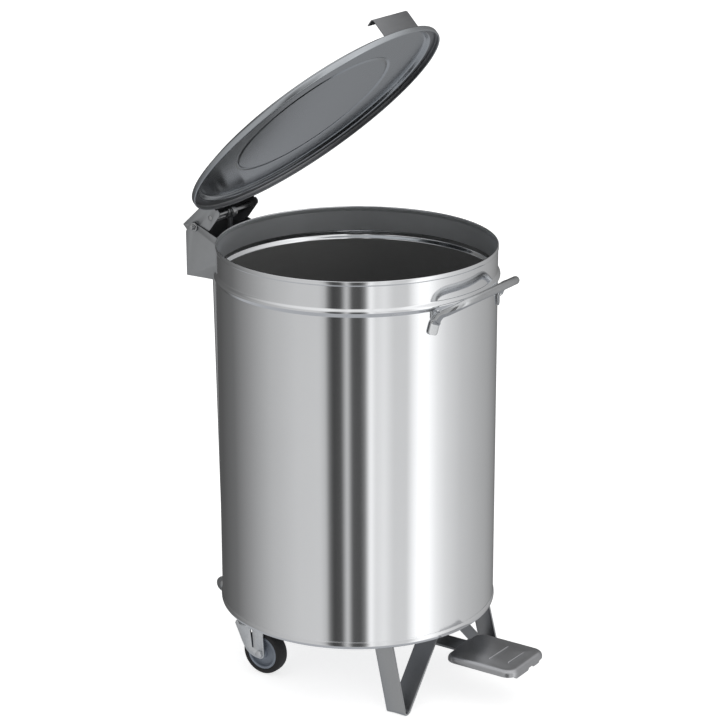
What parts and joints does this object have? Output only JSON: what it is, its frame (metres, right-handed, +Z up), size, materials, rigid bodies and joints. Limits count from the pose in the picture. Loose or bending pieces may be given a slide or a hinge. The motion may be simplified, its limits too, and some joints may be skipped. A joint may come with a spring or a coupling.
{
  "type": "pedal bin on wheels",
  "caption": "Round satin-steel pedal bin: hinged lid standing open, pull rod and foot lever, V feet in front and swivel casters behind.",
  "frame": {"origin": "on the floor under the middle of the object's bounding box, lid open", "axes": "+Z up, -Y to the pedal and the handle, +Y to the lid hinge, +X to the object's left side as seen from behind it"},
  "size_m": [0.4792, 0.6537, 1.1139],
  "materials": {
    "satin_steel": "satin stainless sheet, bright and slightly streaked",
    "bare_steel": "drawn bar, dull",
    "zinc_plate": "zinc-plated pressed steel",
    "hub_plastic": "moulded blue-grey plastic",
    "tyre_rubber": "matt black rubber"
  },
  "bodies": {
    "bin": {"body_shell": "satin_steel", "bottom_pan": "satin_steel", "front_handle": "satin_steel", "hinge_bracket": "satin_steel", "hinge_pin": "bare_steel", "hinge_pin_ring": "bare_steel", "lever_bracket": "satin_steel", "lever_pin": "bare_steel", "lever_pin_cap": "bare_steel", "front_foot_left": "satin_steel", "front_foot_right": "satin_steel", "caster_rail": "satin_steel", "swivel_head_left": "zinc_plate", "swivel_head_right": "zinc_plate", "king_bolt_left": "zinc_plate", "king_bolt_right": "zinc_plate", "king_nut_left": "zinc_plate", "king_nut_right": "zinc_plate"},
    "lid": {"lid_panel": "satin_steel", "lid_grip": "satin_steel", "lid_arm": "satin_steel", "link_pin": "bare_steel", "link_collar_left": "bare_steel", "link_collar_right": "bare_steel"},
    "pedal": {"pedal_lever": "satin_steel", "pedal_plate": "satin_steel", "rod_pin": "bare_steel", "rod_pin_cap": "bare_steel"},
    "rod": {"pull_rod": "bare_steel"},
    "swivel_left": {"fork_left": "zinc_plate", "axle_bolt_left": "zinc_plate", "axle_nut_left": "zinc_plate", "axle_sleeve_left": "zinc_plate"},
    "swivel_right": {"fork_right": "zinc_plate", "axle_bolt_right": "zinc_plate", "axle_nut_right": "zinc_plate", "axle_sleeve_right": "zinc_plate"},
    "wheel_left": {"wheel_hub_left": "hub_plastic", "tyre_left": "tyre_rubber"},
    "wheel_right": {"wheel_hub_right": "hub_plastic", "tyre_right": "tyre_rubber"}
  },
  "joints": [
    {"name": "lid_hinge", "type": "hinge", "parent": "bin", "child": "lid", "pos_m": [0, 0.3011, 0.733], "axis": [-1, 0, 0], "range_deg": [-42.9, 2.5]},
    {"name": "lever_pivot", "type": "hinge", "parent": "bin", "child": "pedal", "pos_m": [0, 0.0326, 0.088], "axis": [1, 0, 0], "range_deg": [-6.2, 0.9]},
    {"name": "rod_pivot", "type": "hinge", "parent": "pedal", "child": "rod", "pos_m": [0, 0.2936, 0.07], "axis": [1, 0, 0], "range_deg": [-0.9, 6.2]},
    {"name": "caster_swivel_left", "type": "hinge", "parent": "bin", "child": "swivel_left", "pos_m": [-0.135, 0.1346, 0.095], "axis": [0, 0, 1], "continuous": true},
    {"name": "caster_swivel_right", "type": "hinge", "parent": "bin", "child": "swivel_right", "pos_m": [0.135, 0.1346, 0.095], "axis": [0, 0, 1], "continuous": true},
    {"name": "wheel_spin_left", "type": "hinge", "parent": "swivel_left", "child": "wheel_left", "pos_m": [-0.135, 0.1096, 0.0385], "axis": [1, 0, 0], "continuous": true},
    {"name": "wheel_spin_right", "type": "hinge", "parent": "swivel_right", "child": "wheel_right", "pos_m": [0.135, 0.1096, 0.0385], "axis": [1, 0, 0], "continuous": true}
  ],
  "couplings": [
    {"joint": "lever_pivot", "follows": "lid_hinge", "ratio": 0.1355},
    {"joint": "rod_pivot", "follows": "lid_hinge", "ratio": -0.1355}
  ]
}
